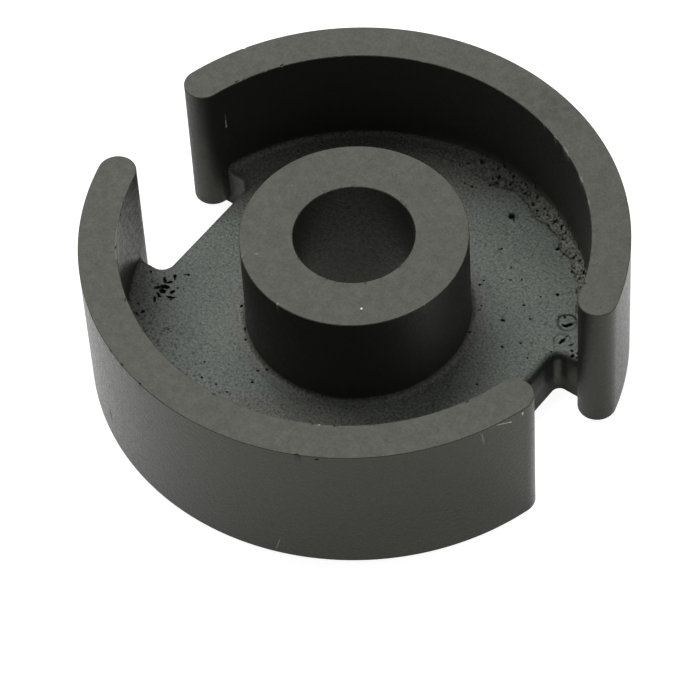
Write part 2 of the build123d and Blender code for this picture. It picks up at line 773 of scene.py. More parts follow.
# The wavy inner edge of the crust at the foot of the back wall: turn round the core, radius
CRUST_EDGE = (
    (35, 8.65),
    (38, 8.69),
    (42, 8.78),
    (44, 8.85),
    (48.5, 8.71),
    (52, 8.80),
    (54, 8.63),
    (56.5, 8.57),
    (59, 8.75),
    (62, 8.70),
    (65.5, 8.65),
    (68, 8.41),
    (70, 8.39),
    (72, 8.59),
    (75, 8.62),
    (80, 8.67),
    (84, 8.35),
    (89, 8.25),
    (94, 8.42),
    (100, 8.30),
    (106, 8.50),
    (114, 8.60),
)


UP = np.array([0.0, 0.0, 1.0])


def smooth_step(start, end, value):
    share = np.clip((value - start) / (end - start), 0, 1)
    return share * share * (3 - 2 * share)


def noise_at(points, per_mm):
    """Smooth noise between about -1 and 1, with so many bumps to the millimetre."""
    scale = per_mm / MM
    return np.array([noise.noise(Vector(point) * scale) for point in points])


def round_core(turn, radius, height):
    """The point at a turn in degrees, a radius and a height in mm."""
    turn = math.radians(turn)
    return np.array([radius * math.cos(turn), radius * math.sin(turn), height]) * MM


def away_from_axis(turn):
    """The level direction that points away from the core's axis at a turn in degrees."""
    turn = math.radians(turn)
    return np.array([math.cos(turn), math.sin(turn), 0.0])


def turns_of(points):
    """How far round the core each point lies, in degrees."""
    return np.degrees(np.arctan2(points[:, 1], points[:, 0]))


class Mark:
    """A ragged oval pit in the skin. A crumb is a mark of negative depth."""

    def __init__(self, middle, facing, length, width, turn, depth, tint="pit"):
        self.middle = middle
        self.facing = facing
        if abs(facing[2]) > 0.5:
            level = np.array([1.0, 0.0, 0.0])
        else:
            level = np.cross(UP, facing)
        upright = np.cross(facing, level)
        cosine, sine = math.cos(math.radians(turn)), math.sin(math.radians(turn))
        self.along = cosine * level + sine * upright
        self.across = cosine * upright - sine * level
        self.length = length * MM
        self.width = width * MM
        self.depth = depth * MM
        self.tint = tint
        self.reach = 0.75 * self.length + 0.03 * MM
        self.finest = np.clip(self.width / 4.5, 0.022 * MM, 0.036 * MM)

    def press(self, points, tints):
        away = points - self.middle
        near = np.flatnonzero((away**2).sum(axis=1) < self.reach**2)
        away = away[near]
        spread = np.hypot(
            away @ self.along / (self.length / 2), away @ self.across / (self.width / 2)
        )
        spread *= 1 + 0.4 * noise_at(points[near], 12)
        share = 1 - smooth_step(0.35, 1.0, spread)
        points[near] -= np.outer(share * self.depth, self.facing)
        # Painted shade for marks tinted as pits, a painted glint for those tinted as flakes; crust
        # and chip marks take their own colours.
        tint = tints[self.tint]
        tint[near] = np.maximum(tint[near], 1 - smooth_step(0.75, 1.1, spread))


class Bite:
    """A shell-shaped chip out of an edge: the skin inside a ball is pushed onto the ball."""

    def __init__(self, middle, outwards, length, depth, tint):
        half, depth = length / 2 * MM, depth * MM
        self.radius = (half**2 + depth**2) / (2 * depth)
        self.middle = middle + outwards * (self.radius - depth)
        self.spot = middle
        self.half = half
        self.tint = tint

    def press(self, points, tints):
        close = np.linalg.norm(points - self.spot, axis=1) < 1.5 * self.half
        away = points - self.middle
        far = np.linalg.norm(away, axis=1)
        inside = close & (far < self.radius)
        points[inside] = self.middle + away[inside] * (self.radius / far[inside])[:, None]
        # Painted shade for bites tinted as pits, a painted glint for those tinted as flakes.
        tints[self.tint][inside] = 1.0


def floor_marks(floor):
    """The larger pits in the floor of the cup."""
    for x, y, length, width, turn in FLOOR_PITS:
        middle = np.array([x * MM, y * MM, floor])
        yield Mark(middle, UP, length, width, turn, 0.85 * width)


def top_marks(height):
    """Bright and dark specks on the ground top of the post."""
    for x, y, size, tint in TOP_SPECKS:
        yield Mark(np.array([x * MM, y * MM, height]), UP, size, 0.8 * size, 30, 0.008, tint)


def wall_marks():
    """Scratches, flakes and pits in the sides of the walls."""
    for turn, radius, height, length, width, slant, depth, tint in WALL_MARKS:
        spot = round_core(turn, radius, height)
        yield Mark(spot, away_from_axis(turn), length, width, slant, depth, tint)


def crumbs(shape):
    """Crumbs of the crust that stick to the foot of the back wall."""
    chance = np.random.default_rng(5)
    for turn in (41, 45, 47.5, 51, 53.5, 56, 58, 61, 66, 71, 77, 84):
        spot = round_core(turn + chance.uniform(-1, 1), shape.inner / MM, 0)
        spot[2] = shape.floor + chance.uniform(0.22, 0.42) * MM
        length, width = chance.uniform(0.10, 0.24), chance.uniform(0.07, 0.13)
        slant = chance.uniform(0, 180)
        yield Mark(spot, -away_from_axis(turn), length, width, slant, -0.05, "crust")


def edge_chips(shape):
    """The larger chips, then small nicks all round the ground edges."""
    chance = np.random.default_rng(11)
    top, post = shape.height / MM, shape.post / MM
    for turn, radius, length, depth, tint in EDGE_CHIPS:
        inside_cup = math.isclose(radius, shape.inner / MM, abs_tol=0.01)
        yield edge_chip(turn, radius, top, length, depth, tint, -1 if inside_cup else 1)
    rims = (
        (shape.outer / MM, 60),
        (shape.inner / MM, 40),
        (post, 24),
        (shape.bore / MM, 14),
    )
    for radius, count in rims:
        for _ in range(count):
            turn = chance.uniform(-180, 180)
            on_a_wall = abs(math.sin(math.radians(turn))) > 0.33
            length, depth = chance.uniform(0.05, 0.13), chance.uniform(0.008, 0.02)
            if on_a_wall or radius <= post:
                yield edge_chip(turn, radius, top, length, depth, "nick_and_contact_shadow")


def edge_chip(turn, radius, height, length, depth, tint, side=1):
    """A bite out of a ground edge, from above and outside it. A side of -1 takes it from the
    axis's side."""
    direction = (side * away_from_axis(turn) + UP) / math.sqrt(2)
    return Bite(round_core(turn, radius, height), direction, length, depth, tint)


def crust_share(points, shape):
    """How much each point belongs to the crust, and how far it lies beyond the crust's edge."""
    turn = turns_of(points)
    radius = np.hypot(points[:, 0], points[:, 1])
    turns, radii = np.array(CRUST_EDGE).T
    beyond = radius - np.interp(turn, turns, radii) * MM
    share = smooth_step(30, 37, turn) * (1 - smooth_step(82, 118, turn))
    low = smooth_step(-0.3, -0.1, points[:, 2] / MM - shape.floor / MM)
    share *= low * (1 - smooth_step(0.30, 0.42, (points[:, 2] - shape.floor) / MM))
    share *= radius < shape.inner + 0.01 * MM
    return share, beyond


def raise_crust(points, tints, shape):
    """A crumbly band at the foot of the back wall, with a painted shadow line along its edge and
    painted shade over its far end.
    """
    share, beyond = crust_share(points, shape)
    near = np.flatnonzero((share > 0) & (beyond > -0.08 * MM))
    share, beyond = share[near], beyond[near] / MM
    wander = 0.05 * noise_at(points[near], 3.1) + 0.03 * noise_at(points[near], 9.0)
    beyond = beyond + wander
    lumps = 0.075 + 0.07 * noise_at(points[near] + MM, 4.3) + 0.06 * noise_at(points[near], 10.0)
    on_crust = smooth_step(0, 0.05, beyond) * share
    below_wall = 1 - smooth_step(0.12, 0.25, (points[near, 2] - shape.floor) / MM)
    points[near, 2] += on_crust * below_wall * np.maximum(lumps, 0.01) * MM
    tints["crust"][near] = np.maximum(tints["crust"][near], on_crust)
    # Painted shadow: a dark line along the crust's inner edge.
    line = np.exp(-((beyond / 0.03) ** 2)) * share
    line *= smooth_step(-0.35, 0.15, noise_at(points[near] + 3 * MM, 1.8))
    turn = turns_of(points[near])
    holes = smooth_step(0.34, 0.46, noise_at(points[near] - MM, 6.5)) * on_crust
    points[near, 2] -= 0.06 * MM * holes * below_wall
    # Painted shade: the crust past 68 degrees round is darkened where the back wall shades it, and
    # its holes take the pits' painted shade.
    crust_shade = 0.35 * smooth_step(68, 78, turn) * on_crust
    crust_shade = np.maximum(crust_shade, np.maximum(0.9 * line, holes))
    tints["pit"][near] = np.maximum(tints["pit"][near], crust_shade)
    grains = smooth_step(0.25, 0.4, noise_at(points[near] + 2 * MM, 9.0)) * on_crust
    tints["chip_and_highlight"][near] = 0.5 * grains * (1 - smooth_step(62, 70, turn))


def round_notch_edges(points, shape):
    """Rounds the edge where the floor runs over into a notch."""
    slack = 0.001 * MM
    x, y, z = points.T
    round_edge = shape.notch_edge
    above = (z > shape.floor - slack) & (z < shape.floor + shape.fillet + slack)
    on_floor = np.flatnonzero(above & (np.hypot(x, y) < shape.inner + slack))
    inwards = shape.notch_reach + shape.notch_corner - np.abs(x[on_floor])
    sideways = np.abs(y[on_floor]) - shape.notch_side + shape.notch_corner
    away = np.where(
        (inwards > 0) & (sideways > 0),
        np.hypot(inwards, sideways),
        np.maximum(inwards, sideways),
    )
    left = np.clip(round_edge + shape.notch_corner - away, 0, round_edge)
    points[on_floor, 2] -= round_edge - np.sqrt(round_edge**2 - left**2)


def press_rings(points, tints, floor):
    """Thin round grooves in the floor, darkened with painted shade."""
    level = np.abs(points[:, 2] - floor) < 0.05 * MM
    for x, y, ring, clearest, whole in FLOOR_RINGS:
        right, back = points[:, 0] / MM - x, points[:, 1] / MM - y
        away = np.hypot(right, back)
        near = np.flatnonzero(level & (np.abs(away - ring) < 0.12))
        wobble = 0.06 * noise_at(points[near], 2.6)
        groove = np.exp(-(((away[near] - ring + wobble) / 0.034) ** 2))
        side = np.cos(np.arctan2(back[near], right[near]) - math.radians(clearest))
        groove *= smooth_step(-1.0, 0.6, side + 2 * whole - 1)
        groove *= 0.7 + 0.6 * noise_at(points[near] + MM, 2.2)
        points[near, 2] -= 0.03 * MM * groove
        # Painted shade in the grooves.
        tints["pit"][near] = np.maximum(tints["pit"][near], groove)


def in_a_notch(points, shape):
    """Whether each point lies on the sides or the inner end of a notch."""
    x, y, z = np.abs(points.T)
    slack = 0.01 * MM
    inside = (x > shape.notch_reach - slack) & (y < shape.notch_side + slack)
    return inside & (np.hypot(x, y) < shape.inner + slack) & (z < shape.floor + shape.fillet)


def dull_parts(points, tints, shape):
    """Marks the notches, the post and the bore as raw, pales the notches slightly with painted
    light, and paints a dark contact shadow along the edges of the back face.
    """
    x, y, z = points.T
    radius, turn = np.hypot(x, y), turns_of(points)
    slack = 0.01 * MM
    near_outside = smooth_step(shape.outer - 0.6 * MM, shape.outer - 0.05 * MM, radius)
    tints["raw"][:] = 0.45 * (1 - near_outside)
    polished = (turn < 0) & (radius > shape.foot)
    tints["raw"][polished] *= 0.65 + 0.35 * smooth_step(-136, -126, turn[polished])
    notch = in_a_notch(points, shape)
    tints["raw"][notch] = 0.2
    # Painted light: the notches are made slightly paler.
    tints["chip_and_highlight"][notch] = 0.03
    tints["raw"][radius < shape.post + slack] = 0.65
    tints["raw"][radius < shape.bore + slack] = 0.5
    # Painted shadow: the back face and its edges are darkened like a contact shadow.
    tints["nick_and_contact_shadow"][z < slack] = 1.0


def paint_notch_shade(points, tints, shape):
    """Paints shade and highlights on the +X notch: painted shade along its top and in ragged bands
    beside its corners, where its rounded edges and corner fillets fall into shade, and painted
    highlights on the corners and along the lip. It also roughens the notch towards its top.
    The sizes here are in mm."""
    shaded_notch = in_a_notch(points, shape) & (points[:, 0] > 0)
    spots = points[shaded_notch]
    x, y, z = np.abs(spots.T) / MM
    end, side, floor = (size / MM for size in (shape.notch_reach, shape.notch_side, shape.floor))
    bend = (1 - math.cos(math.radians(45))) * shape.notch_corner / MM
    away = np.hypot(x - end - bend, y - side + bend) + 0.1 * noise_at(spots, 1.7)
    flank = y > side - 0.05
    reach = np.where(flank, 0.6, 1.0)
    past_shade = smooth_step(0.5 * reach, reach, away)
    # Painted shade: the bands beside the corners and the top of the notch are darkened.
    corner_shade = smooth_step(0.2, 0.9, z) * smooth_step(0.06, 0.2, away) * (1 - past_shade)
    ragged = z + 0.1 * noise_at(spots + MM, 2.1)
    high = smooth_step(1.3, 1.8, ragged + np.where(flank, 0, 0.4))
    tints["pit"][shaded_notch] = np.maximum(0.5 * high, 0.7 * corner_shade)
    raw = np.maximum(0.3 + 0.45 * z / floor, 1.2 * corner_shade)
    tints["raw"][shaded_notch] = raw * (0.4 + 0.6 * smooth_step(0.03, 0.18, away))
    # Painted highlight: paler on the corners, beyond the shaded bands and along the lip.
    painted_highlight = past_shade + 1 - smooth_step(0.04, 0.14, away)
    painted_highlight[flank] *= 0.25
    lip = 1 - smooth_step(0.1, 0.4, z)
    tints["chip_and_highlight"][shaded_notch] = (0.34 * painted_highlight + 0.12 * lip) * (1 - high)


def wear_rim_and_paint_reflection(points, tints, shape):
    """Pales a stretch of the walls' inner edge, paints a pale reflection high on the inner face of
    the -Y wall near the -X slot, and stains the rim at the back.
    """
    height, turn = points[:, 2], turns_of(points)
    at_inside = np.abs(np.hypot(points[:, 0], points[:, 1]) - shape.inner) < 0.03 * MM
    worn_edge = at_inside & (height > shape.height - 0.04 * MM) & (turn > 38) & (turn < 72)
    tints["chip_and_highlight"][worn_edge] = 0.7 * smooth_step(0.0, 0.3, noise_at(points[worn_edge], 2.3))
    # Painted reflection: a pale stretch high on the inner face of the -Y wall near the -X slot,
    # where it mirrors the light.
    painted_highlight = smooth_step(-151, -146, turn) * (1 - smooth_step(-138, -136.5, turn)) * at_inside
    painted_highlight *= smooth_step(shape.height - 1.2 * MM, shape.height - 0.6 * MM, height)
    tints["chip_and_highlight"] = np.maximum(tints["chip_and_highlight"], 0.55 * painted_highlight)
    away = (points - round_core(76, 9.9, shape.height / MM)) * (1.0, 1.8, 1.0)
    tints["stain"][:] = 1 - smooth_step(0.6, 2.2, np.linalg.norm(away, axis=1) / MM)


# How long an edge of the mesh may be on the crust and on a pressed ring
CRUST_DETAIL = 0.057 * MM
RING_DETAIL = 0.026 * MM
REFINE_PASSES = 4
SPLIT_OVER = 1.4  # an edge this many times longer than it may be is split


def edge_targets(middles, marks, shape):
    """How long an edge of the mesh may be at each point."""
    targets = np.full(len(middles), np.inf)
    for mark in marks:
        if isinstance(mark, Mark):
            spot, reach, finest = mark.middle, mark.reach, mark.finest
        else:
            spot, reach, finest = mark.spot, 1.2 * mark.half, max(mark.half / 3, 0.02 * MM)
        near = ((middles - spot) ** 2).sum(axis=1) < reach**2
        targets[near] = np.minimum(targets[near], finest)
    share, beyond = crust_share(middles, shape)
    on_crust = (share > 0) & (beyond > -0.06 * MM)
    targets[on_crust] = np.minimum(targets[on_crust], CRUST_DETAIL)
    for x, y, ring, _, _ in FLOOR_RINGS:
        away = np.hypot(middles[:, 0] / MM - x, middles[:, 1] / MM - y)
        near = (np.abs(away - ring) < 0.07) & (np.abs(middles[:, 2] - shape.floor) < 0.05 * MM)
        targets[near] = np.minimum(targets[near], RING_DETAIL)
    return targets


def drop_twins(work):
    """Removes faces that lie back to back on the same three points."""
    faces = {}
    for face in work.faces:
        faces.setdefault(frozenset(face.verts), []).append(face)
    twins = [face for group in faces.values() if len(group) > 1 for face in group]
    bmesh.ops.delete(work, geom=twins, context="FACES")


def refine(mesh, marks, shape):
    """Splits the mesh's edges near the blemishes until they are short enough to carry them."""
    work = bmesh.new()
    work.from_mesh(mesh)
    for _ in range(REFINE_PASSES):
        edges = list(work.edges)
        ends = np.array([(*edge.verts[0].co, *edge.verts[1].co) for edge in edges])
        lengths = np.linalg.norm(ends[:, 3:] - ends[:, :3], axis=1)
        targets = edge_targets((ends[:, :3] + ends[:, 3:]) / 2, marks, shape)
        split = [edges[i] for i in np.flatnonzero(lengths > SPLIT_OVER * targets)]
        if not split:
            break
        bmesh.ops.subdivide_edges(work, edges=split, cuts=1, use_single_edge=True)
        bmesh.ops.triangulate(work, faces=[face for face in work.faces if len(face.verts) > 3])
        drop_twins(work)
    if not all(edge.is_manifold for edge in work.edges):
        raise RuntimeError("the refined skin is not closed")
    work.to_mesh(mesh)
    work.free()


# The blemishes and the painted shade, highlights and glints that change the finish, each a share
# stored on the mesh's points
TINTS = ("pit", "crust", "chip_and_highlight", "nick_and_contact_shadow", "flake_glint", "raw", "stain")


def blemish(mesh, shape):
    """Presses every blemish into the mesh, and stores where its finish changes, with the painted
    shade and highlights.
    """
    marks = [*floor_marks(shape.floor), *wall_marks(), *crumbs(shape)]
    marks.extend(top_marks(shape.height))
    chips = list(edge_chips(shape))
    refine(mesh, [*marks, *chips], shape)
    points = np.empty(3 * len(mesh.vertices))
    mesh.vertices.foreach_get("co", points)
    points = points.reshape(-1, 3)
    tints = {name: np.zeros(len(points)) for name in TINTS}
    round_notch_edges(points, shape)
    level = np.abs(points[:, 2] - shape.floor) < 1e-7
    raise_crust(points, tints, shape)
    press_rings(points, tints, shape.floor)
    dull_parts(points, tints, shape)
    paint_notch_shade(points, tints, shape)
    wear_rim_and_paint_reflection(points, tints, shape)
    for mark in (*marks, *chips):
        mark.press(points, tints)
    mesh.vertices.foreach_set("co", points.ravel())
    for name in TINTS:
        mesh.attributes.new(name, "FLOAT", "POINT").data.foreach_set("value", tints[name])
    mesh.attributes.new("level", "FLOAT", "POINT").data.foreach_set("value", level.astype(float))
    mesh.update()


# Node trees


class Nodes:
    """Short ways to add nodes to a tree and to link them."""

    def __init__(self, tree):
        self.tree = tree

    def add(self, kind, **settings):
        node = self.tree.nodes.new(kind)
        for name, value in settings.items():
            setattr(node, name, value)
        return node

    def link(self, output, node, name):
        self.tree.links.new(output, node.inputs[name])

    def feed(self, value, node, name):
        """Links a socket, or sets a plain value."""
        if isinstance(value, bpy.types.NodeSocket):
            self.link(value, node, name)
        else:
            node.inputs[name].default_value = value

    def math(self, operation, first, second):
        node = self.add("ShaderNodeMath", operation=operation)
        self.feed(first, node, 0)
        self.feed(second, node, 1)
        return node.outputs[0]

    def sample(self, geometry, value, index, kind):
        """The value a field has at one point of another geometry."""
        node = self.add("GeometryNodeSampleIndex", data_type=kind, domain="POINT")
        self.link(geometry, node, "Geometry")
        self.link(value, node, "Value")
        self.link(index, node, "Index")
        return node.outputs["Value"]

    def remap(self, value, low, high, to_low=0.0, to_high=1.0):
        node = self.add("ShaderNodeMapRange")
        self.link(value, node, "Value")
        node.inputs["From Min"].default_value = low
        node.inputs["From Max"].default_value = high
        node.inputs["To Min"].default_value = to_low
        node.inputs["To Max"].default_value = to_high
        return node.outputs[0]

    def place(self, per_mm, squash=1.0):
        """The object's own coordinates, with so many units to the millimetre."""
        scale = per_mm / MM
        place = self.add("ShaderNodeMapping")
        place.inputs["Scale"].default_value = (scale, scale, scale * squash)
        self.link(self.add("ShaderNodeTexCoord").outputs["Object"], place, "Vector")
        return place.outputs[0]

    def noise(self, per_mm, detail=2.0, roughness=0.5, squash=1.0):
        node = self.add("ShaderNodeTexNoise")
        node.inputs["Scale"].default_value = 1.0
        node.inputs["Detail"].default_value = detail
        node.inputs["Roughness"].default_value = roughness
        self.link(self.place(per_mm, squash), node, "Vector")
        return node.outputs[0]

    def dots(self, per_mm, size):
        """Small round dots: 1 in a dot, 0 between them."""
        node = self.add("ShaderNodeTexVoronoi")
        node.inputs["Scale"].default_value = 1.0
        self.link(self.place(per_mm), node, "Vector")
        return self.remap(node.outputs["Distance"], size, 0.7 * size)

    def attribute(self, name):
        return self.add("ShaderNodeAttribute", attribute_name=name).outputs["Fac"]

    def brighten(self, colour, amount):
        """A colour times a number."""
        node = self.add("ShaderNodeVectorMath", operation="SCALE")
        self.feed(colour, node, 0)
        self.feed(amount, node, "Scale")
        return node.outputs[0]

    def mix(self, share, first, second):
        """The first colour where the share is 0, the second where it is 1."""
        node = self.add("ShaderNodeMix", data_type="RGBA")
        colours = [socket for socket in node.inputs if socket.type == "RGBA"]
        self.feed(share, node, 0)
        for value, socket in zip((first, second), colours):
            if isinstance(value, bpy.types.NodeSocket):
                self.tree.links.new(value, socket)
            else:
                socket.default_value = (*value, 1)
        return next(socket for socket in node.outputs if socket.type == "RGBA")

    def along(self, direction):
        """How far each point lies in a direction, in mm."""
        node = self.add("ShaderNodeVectorMath", operation="DOT_PRODUCT")
        self.link(self.place(1.0), node, 0)
        node.inputs[1].default_value = direction
        return node.outputs["Value"]

    def bump(self, height, distance, shader):
        node = self.add("ShaderNodeBump")
        node.inputs["Distance"].default_value = distance
        self.link(height, node, "Height")
        self.link(node.outputs[0], shader, "Normal")


# Pressing pits, scattered with Geometry Nodes


def pressing_pits():
    """The node group that scatters small round pits over the floor of the cup."""
    tree = bpy.data.node_groups.new("Pressing pits", "GeometryNodeTree")
    sockets = (
        ("Geometry", "INPUT", "NodeSocketGeometry"),
        ("Pits per square metre", "INPUT", "NodeSocketFloat"),
        ("Smallest pit", "INPUT", "NodeSocketFloat"),
        ("Largest pit", "INPUT", "NodeSocketFloat"),
        ("Depth", "INPUT", "NodeSocketFloat"),
        ("Seed", "INPUT", "NodeSocketInt"),
        ("Cup floor", "INPUT", "NodeSocketMaterial"),
        ("Geometry", "OUTPUT", "NodeSocketGeometry"),
    )
    for name, way, kind in sockets:
        tree.interface.new_socket(name, in_out=way, socket_type=kind)
    nodes = Nodes(tree)
    given = nodes.add("NodeGroupInput").outputs
    position = nodes.add("GeometryNodeInputPosition").outputs[0]

    # Seeds of the pits, on the flat floor only
    level = nodes.add("GeometryNodeInputNamedAttribute", data_type="FLOAT")
    level.inputs["Name"].default_value = "level"
    is_level = nodes.math("GREATER_THAN", level.outputs["Attribute"], 0.99)
    scatter = nodes.add("GeometryNodeDistributePointsOnFaces", distribute_method="RANDOM")
    nodes.link(given["Geometry"], scatter, "Mesh")
    nodes.link(is_level, scatter, "Selection")
    nodes.link(given["Pits per square metre"], scatter, "Density")
    nodes.link(given["Seed"], scatter, "Seed")
    seeds = scatter.outputs["Points"]

    # The nearest seed to each point of the skin, how far it is and how wide its pit is
    nearest = nodes.add("GeometryNodeSampleNearest", domain="POINT")
    nodes.link(seeds, nearest, "Geometry")
    middle = nodes.sample(seeds, position, nearest.outputs["Index"], "FLOAT_VECTOR")
    radius = nodes.add("FunctionNodeRandomValue", data_type="FLOAT")
    float_sockets = [socket for socket in radius.inputs if socket.type == "VALUE"]
    nodes.tree.links.new(given["Smallest pit"], float_sockets[0])
    nodes.tree.links.new(given["Largest pit"], float_sockets[1])
    nodes.link(given["Seed"], radius, "Seed")
    value = next(socket for socket in radius.outputs if socket.type == "VALUE")
    width = nodes.sample(seeds, value, nearest.outputs["Index"], "FLOAT")
    distance = nodes.add("ShaderNodeVectorMath", operation="DISTANCE")
    nodes.link(position, distance, 0)
    nodes.link(middle, distance, 1)
    share = nodes.math("DIVIDE", distance.outputs["Value"], width)
    profile = nodes.add("ShaderNodeMapRange", interpolation_type="SMOOTHSTEP")
    nodes.link(share, profile, "Value")
    profile.inputs["From Min"].default_value = 0.3
    profile.inputs["To Min"].default_value = 1.0
    profile.inputs["To Max"].default_value = 0.0
    dent = nodes.math("MULTIPLY", profile.outputs[0], is_level)

    # Sink the skin there, and mark it with the pits' painted shade
    depth = nodes.math("MULTIPLY", width, given["Depth"])
    sink = nodes.math("MULTIPLY", dent, depth)
    down = nodes.add("ShaderNodeVectorMath", operation="SCALE")
    down.inputs[0].default_value = (0, 0, -1)
    nodes.link(sink, down, "Scale")
    move = nodes.add("GeometryNodeSetPosition")
    nodes.link(given["Geometry"], move, "Geometry")
    nodes.link(down.outputs[0], move, "Offset")
    pit = nodes.add("GeometryNodeInputNamedAttribute", data_type="FLOAT")
    pit.inputs["Name"].default_value = "pit"
    store = nodes.add("GeometryNodeStoreNamedAttribute", data_type="FLOAT", domain="POINT")
    store.inputs["Name"].default_value = "pit"
    nodes.link(move.outputs[0], store, "Geometry")
    marked = nodes.math("MAXIMUM", dent, pit.outputs["Attribute"])
    nodes.link(marked, store, "Value")
    realize = nodes.add("GeometryNodeRealizeInstances")
    nodes.link(store.outputs[0], realize, "Geometry")
    index = nodes.add("GeometryNodeInputMaterialIndex")
    on_floor = nodes.add("FunctionNodeCompare", data_type="INT", operation="EQUAL")
    ints = [socket for socket in on_floor.inputs if socket.type == "INT"]
    nodes.tree.links.new(index.outputs[0], ints[0])
    ints[1].default_value = CUP_FLOOR
    dress = nodes.add("GeometryNodeSetMaterial")
    nodes.link(realize.outputs[0], dress, "Geometry")
    nodes.link(on_floor.outputs[0], dress, "Selection")
    nodes.link(given["Cup floor"], dress, "Material")
    nodes.link(dress.outputs[0], nodes.add("NodeGroupOutput"), "Geometry")
    return tree


def scatter_pits(core, pits, cup_floor):
    """Runs the node group on the core and keeps the result as a plain mesh."""
    tree = pressing_pits()
    modifier = core.modifiers.new("Pressing pits", "NODES")
    modifier.node_group = tree
    values = {
        "Pits per square metre": pits.density,
        "Smallest pit": pits.smallest,
        "Largest pit": pits.largest,
        "Depth": pits.depth,
        "Seed": pits.seed,
        "Cup floor": cup_floor,
    }
    for item in tree.interface.items_tree:
        if item.in_out == "INPUT" and item.name in values:
            modifier[item.identifier] = values[item.name]
    bpy.context.view_layer.update()
    depsgraph = bpy.context.evaluated_depsgraph_get()
    mesh = bpy.data.meshes.new_from_object(core.evaluated_get(depsgraph), depsgraph=depsgraph)
    core.modifiers.remove(modifier)
    plain = core.data
    core.data = mesh
    bpy.data.meshes.remove(plain)
    mesh.name = "pot_core_half"


# Materials


def new_material(name):
    """A material with one Principled shader, and the helper for its nodes."""
    material = bpy.data.materials.new(name)
    material.use_nodes = True
    nodes = Nodes(material.node_tree)
    shader = material.node_tree.nodes["Principled BSDF"]
    return material, nodes, shader


# The sheen of sintered ferrite is very slightly warm
SHEEN = (1.0, 1.0, 0.84, 1.0)


def with_marks_and_painted_light(nodes, colour, finish):
    """The colour of a finish with its nicks, chips, flakes and pits laid on, and with the painted
    light that shares their tints: a painted contact shadow round the back face, painted highlights
    and glints, and near-black painted shade in the pits, grooves and shaded bands.
    """
    with_nicks_and_shadow = nodes.mix(nodes.math("MULTIPLY", nodes.attribute("nick_and_contact_shadow"), 0.4), colour, finish.pit)
    with_chips_and_highlights = nodes.mix(nodes.attribute("chip_and_highlight"), with_nicks_and_shadow, finish.chip_and_highlight)
    with_glints = nodes.mix(nodes.attribute("flake_glint"), with_chips_and_highlights, finish.flake_glint)
    return nodes.mix(nodes.attribute("pit"), with_glints, finish.pit)


def ground_ferrite(finish):
    """Ground flat: pale, dull and slightly mottled."""
    material, nodes, shader = new_material("ground_ferrite")
    grain = nodes.remap(nodes.noise(9.0, 3.0, 0.65), 0.36, 0.64, 0.78, 1.22)
    clouds = nodes.remap(nodes.noise(0.9, 3.0), 0.3, 0.7, 0.97, 1.03)
    colour = nodes.brighten(finish.ground, nodes.math("MULTIPLY", grain, clouds))
    blots = nodes.math("MULTIPLY", nodes.remap(nodes.noise(2.2, 4.0), 0.42, 0.6), 0.8)
    colour = nodes.mix(nodes.math("MULTIPLY", blots, nodes.attribute("stain")), colour, finish.raw)
    shader.inputs["Specular Tint"].default_value = SHEEN
    nodes.link(with_marks_and_painted_light(nodes, colour, finish), shader, "Base Color")
    nodes.link(nodes.remap(nodes.noise(3.0), 0.3, 0.7, 0.56, 0.64), shader, "Roughness")
    nodes.bump(nodes.noise(22.0, 2.0), 0.004 * MM, shader)
    return material


def pressed_ferrite(finish):
    """As it left the press: dark, with a faint sheen and streaks along the press's stroke."""
    material, nodes, shader = new_material("pressed_ferrite")
    grain = nodes.remap(nodes.noise(6.0, 4.0, 0.65), 0.35, 0.65, 0.72, 1.28)
    streaks = nodes.remap(nodes.noise(2.6, 3.0, squash=0.12), 0.3, 0.7, 0.95, 1.05)
    colour = nodes.brighten(finish.pressed, nodes.math("MULTIPLY", grain, streaks))
    colour = nodes.mix(nodes.attribute("raw"), colour, finish.raw)
    colour = nodes.mix(nodes.attribute("crust"), colour, finish.crust)
    nodes.link(with_marks_and_painted_light(nodes, colour, finish), shader, "Base Color")
    sheen = nodes.remap(nodes.noise(6.0, 4.0, 0.65), 0.35, 0.65, 0.14, 0.32)
    dull = nodes.math("MULTIPLY", nodes.attribute("raw"), 0.5)
    nodes.link(nodes.math("ADD", sheen, dull), shader, "Roughness")
    shader.inputs["Specular Tint"].default_value = SHEEN
    nodes.bump(nodes.noise(7.0, 4.0, 0.65), 0.017 * MM, shader)
    return material


